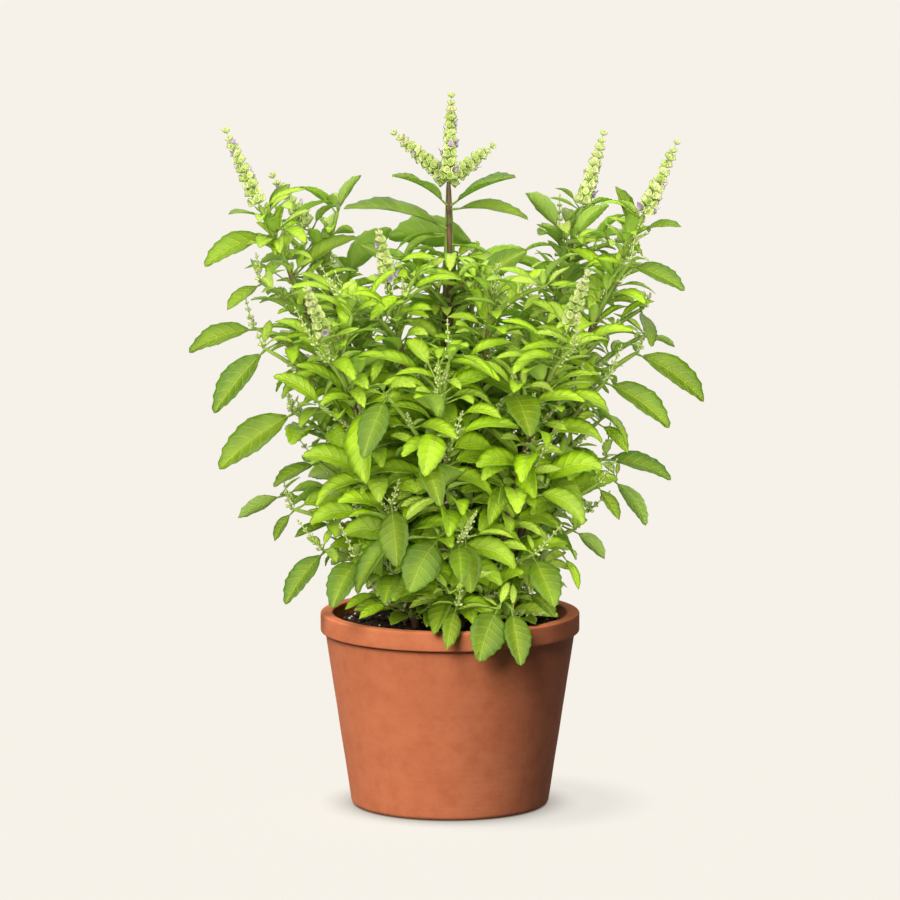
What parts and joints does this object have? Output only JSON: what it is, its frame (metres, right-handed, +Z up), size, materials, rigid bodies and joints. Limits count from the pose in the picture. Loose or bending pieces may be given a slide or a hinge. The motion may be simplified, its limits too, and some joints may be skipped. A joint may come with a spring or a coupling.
{
  "type": "potted holy basil",
  "caption": "Bushy leafy herb with opposite toothed leaves and slim flower spikes, standing in a tapered round clay pot of soil.",
  "frame": {"origin": "centre of the pot's flat foot, on the surface that it stands on", "axes": "+Z up along the pot's axis, -Y towards the viewer of the picture, +X to the viewer's right"},
  "size_m": [0.3556, 0.2769, 0.4973],
  "materials": {
    "terracotta": "matte fired clay, unglazed, fine grain",
    "soil": "crumbly dark potting mix",
    "leaf": "satin leaf with fine veins, brown-purple to green stems",
    "flower": "pale green to lilac, finely hairy"
  },
  "bodies": {
    "root": {"pot": "terracotta", "soil": "soil", "stem_middle": "leaf", "stem_left_1": "leaf", "stem_left_2": "leaf", "stem_left_3": "leaf", "stem_right_1": "leaf", "stem_right_2": "leaf", "stem_right_3": "leaf", "stem_front_1": "leaf", "stem_front_2": "leaf", "stem_front_3": "leaf", "stem_front_4": "leaf", "stem_front_5": "leaf", "stem_back_1": "leaf", "stem_back_2": "leaf", "stem_back_3": "leaf", "stem_back_4": "leaf", "flower_middle": "flower", "flower_left_1": "flower", "flower_left_2": "flower", "flower_left_3": "flower", "flower_right_1": "flower", "flower_right_2": "flower", "flower_right_3": "flower", "flower_front_1": "flower", "flower_front_3": "flower", "flower_front_5": "flower", "flower_back_1": "flower", "flower_back_3": "flower", "flower_back_4": "flower"}
  },
  "joints": []
}
